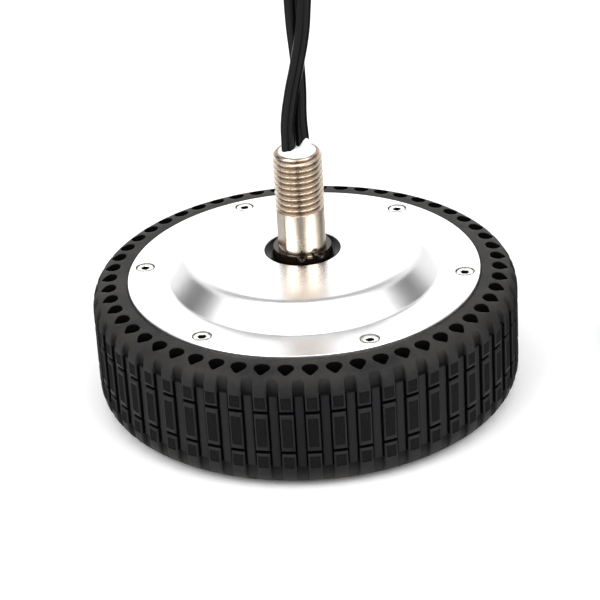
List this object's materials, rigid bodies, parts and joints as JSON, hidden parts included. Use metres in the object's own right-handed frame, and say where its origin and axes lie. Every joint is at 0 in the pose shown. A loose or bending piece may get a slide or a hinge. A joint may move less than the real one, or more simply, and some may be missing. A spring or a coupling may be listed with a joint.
{
  "type": "hub motor wheel",
  "caption": "Small in-wheel electric motor: solid rubber tyre with air holes, aluminium drum and raised cover, threaded hollow axle and two black cables.",
  "frame": {"origin": "centre of the wheel's rear face, where the wheel lies flat on a surface with its axle upright", "axes": "+Z along the axle, out of its threaded end; -Y towards the camera of the reference view; X across it"},
  "size_m": [0.2515, 0.143, 0.2083],
  "materials": {
    "ball_steel": "polished balls",
    "bearing_steel": "ground and polished",
    "black_oxide": "black oxide",
    "black_rubber": "nitrile rubber",
    "cable_jacket": "satin PVC jacket",
    "cage_steel": "pressed sheet",
    "cap_plastic": "moulded",
    "cast_aluminium": "die cast",
    "circuit_board": "solder mask",
    "copper_wire": "enamelled copper wire",
    "cover_aluminium": "fine bead blasted and clear coated",
    "drum_aluminium": "turned casting",
    "flux_steel": "bare steel ring",
    "hall_wire": "thin insulated wires",
    "insulator": "moulded nylon",
    "key_steel": "plain bright drawn",
    "laminations": "varnished silicon steel sheets",
    "magnet_nickel": "nickel plated",
    "nickel_steel": "satin nickel plate with a warm tint",
    "phase_wire": "silicone insulated wires",
    "plug_nylon": "moulded nylon",
    "screw_steel": "stainless",
    "seal_rubber": "glossy nitrile rubber",
    "sensor_body": "moulded epoxy",
    "silicone": "cured silicone sealant",
    "spring_steel": "spring strip",
    "tie_nylon": "nylon",
    "tyre_rubber": "matt solid rubber"
  },
  "bodies": {
    "stator": {"axle": "nickel_steel", "axle_key": "key_steel", "stator_hub": "cast_aluminium", "stator_core": "laminations", "insulator_front": "insulator", "insulator_rear": "insulator", "winding_u": "copper_wire", "winding_v": "copper_wire", "winding_w": "copper_wire", "phase_leads": "phase_wire", "hall_board": "circuit_board", "hall_sensors": "sensor_body", "hall_leads": "hall_wire", "front_bearing_inner": "bearing_steel", "rear_bearing_inner": "bearing_steel", "spacer_sleeve": "black_oxide", "retaining_ring": "black_oxide", "cable_seal": "silicone", "phase_cable": "cable_jacket", "hall_cable": "cable_jacket", "phase_coil": "cable_jacket", "hall_coil": "cable_jacket", "coil_tie": "tie_nylon", "phase_plug": "plug_nylon", "hall_plug": "plug_nylon"},
    "rotor": {"tyre": "tyre_rubber", "rotor_drum": "drum_aluminium", "flux_ring": "flux_steel", "magnets": "magnet_nickel", "front_cover": "cover_aluminium", "cover_gasket": "black_rubber", "cover_screws": "screw_steel", "front_bearing_outer": "bearing_steel", "front_bearing_shields": "black_rubber", "shaft_seal": "seal_rubber", "rear_bearing_outer": "bearing_steel", "rear_bearing_shields": "black_rubber", "wave_washer": "spring_steel", "rear_cap": "cap_plastic"},
    "front_rolling_set": {"front_cage": "cage_steel", "front_balls": "ball_steel"},
    "rear_rolling_set": {"rear_cage": "cage_steel", "rear_balls": "ball_steel"}
  },
  "joints": [
    {"name": "wheel_spin", "type": "hinge", "parent": "stator", "child": "rotor", "pos_m": [0, 0, 0.02075], "axis": [0, 0, 1], "continuous": true},
    {"name": "front_cage_roll", "type": "hinge", "parent": "stator", "child": "front_rolling_set", "pos_m": [0, 0, 0.0395], "axis": [0, 0, 1], "continuous": true},
    {"name": "rear_cage_roll", "type": "hinge", "parent": "stator", "child": "rear_rolling_set", "pos_m": [0, 0, 0.007], "axis": [0, 0, 1], "continuous": true}
  ],
  "couplings": [
    {"joint": "front_cage_roll", "follows": "wheel_spin", "ratio": 0.6167},
    {"joint": "rear_cage_roll", "follows": "wheel_spin", "ratio": 0.619}
  ]
}
